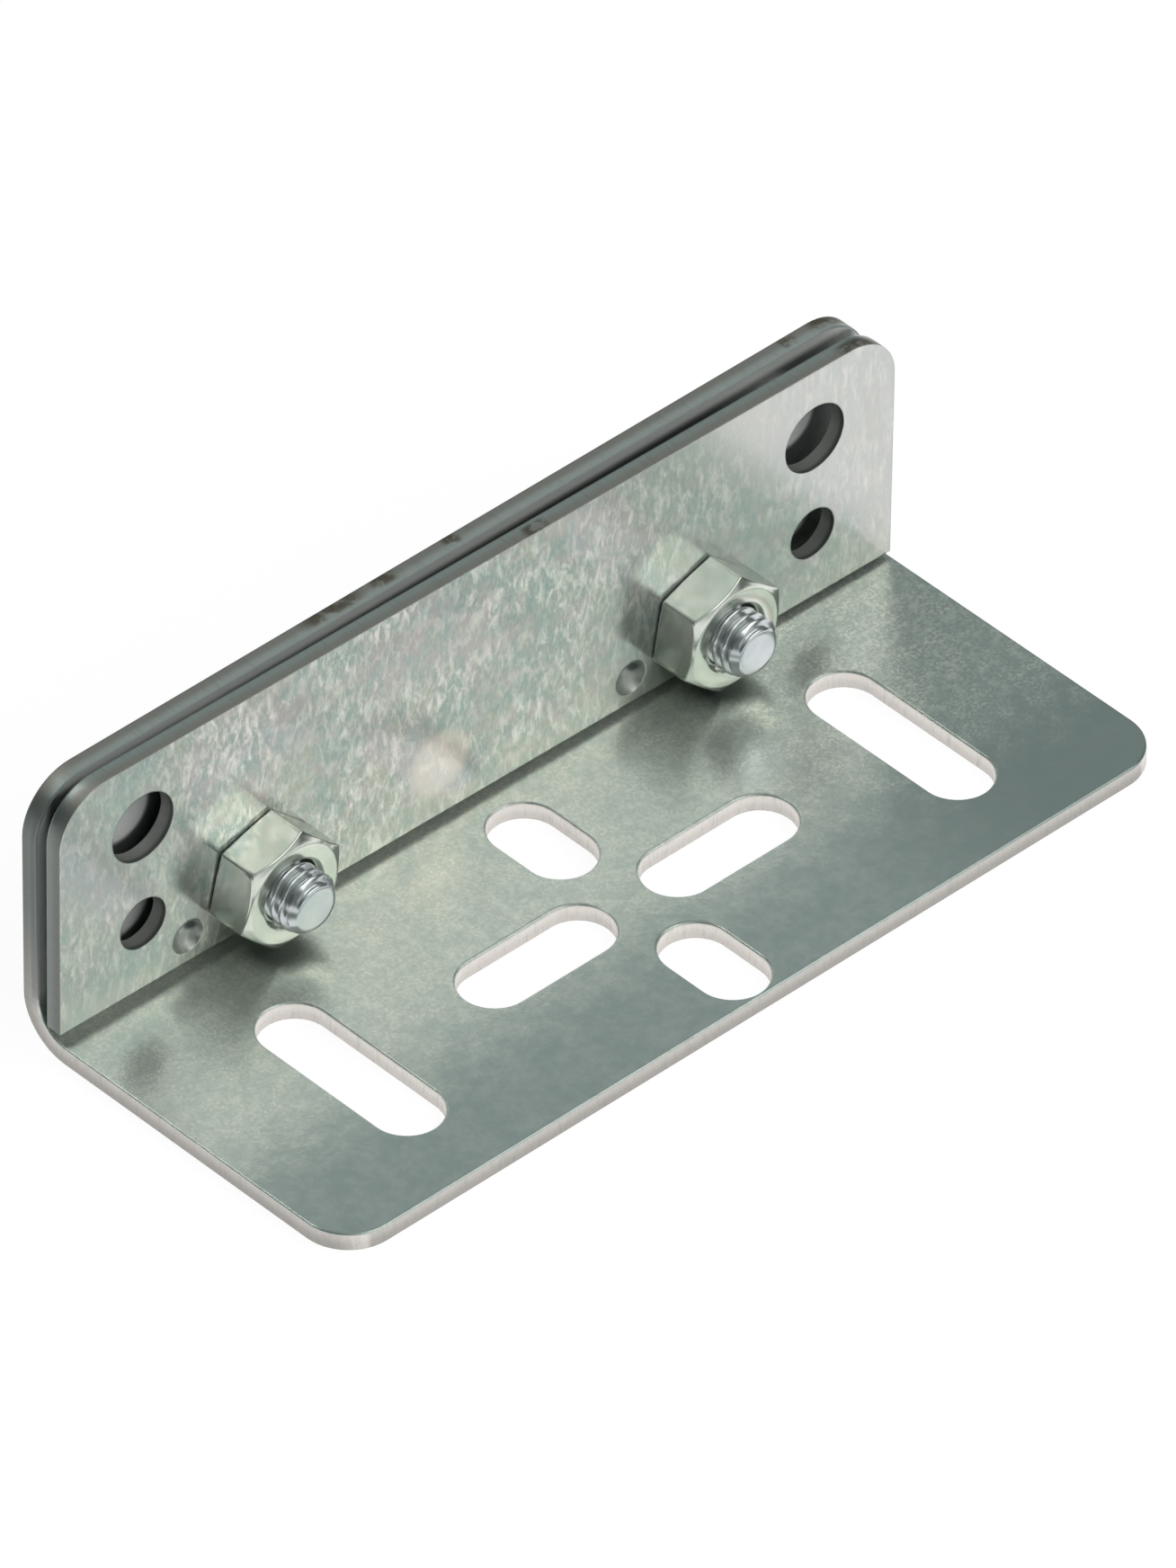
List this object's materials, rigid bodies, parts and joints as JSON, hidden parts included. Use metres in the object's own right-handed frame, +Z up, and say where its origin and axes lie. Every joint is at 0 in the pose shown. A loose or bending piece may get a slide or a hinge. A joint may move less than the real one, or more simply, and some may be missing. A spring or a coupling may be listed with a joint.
{
  "type": "mounting bracket",
  "caption": "Folded sheet-steel angle bracket with slots in its flat foot and, in front of its upright flange, a drilled clamp plate held on by screws and hexagon nuts.",
  "frame": {"origin": "on the underside of the flat foot, at the centre of the cross of four slots", "axes": "+X along the bracket's length to the right, +Y from the foot's open edge back to the flange, +Z up"},
  "size_m": [0.0651, 0.0301, 0.0189],
  "materials": {
    "bracket_sheet": "bright zinc plating on punched sheet, satin",
    "plate_sheet": "bright zinc plating on punched sheet, satin",
    "screw": "bright zinc plating, glossy",
    "nut": "yellowish zinc plating, satin"
  },
  "bodies": {
    "root": {"angle_bracket": "bracket_sheet", "clamp_plate": "plate_sheet", "bolt_left": "screw", "bolt_right": "screw", "nut_left": "nut", "nut_right": "nut"}
  },
  "joints": []
}
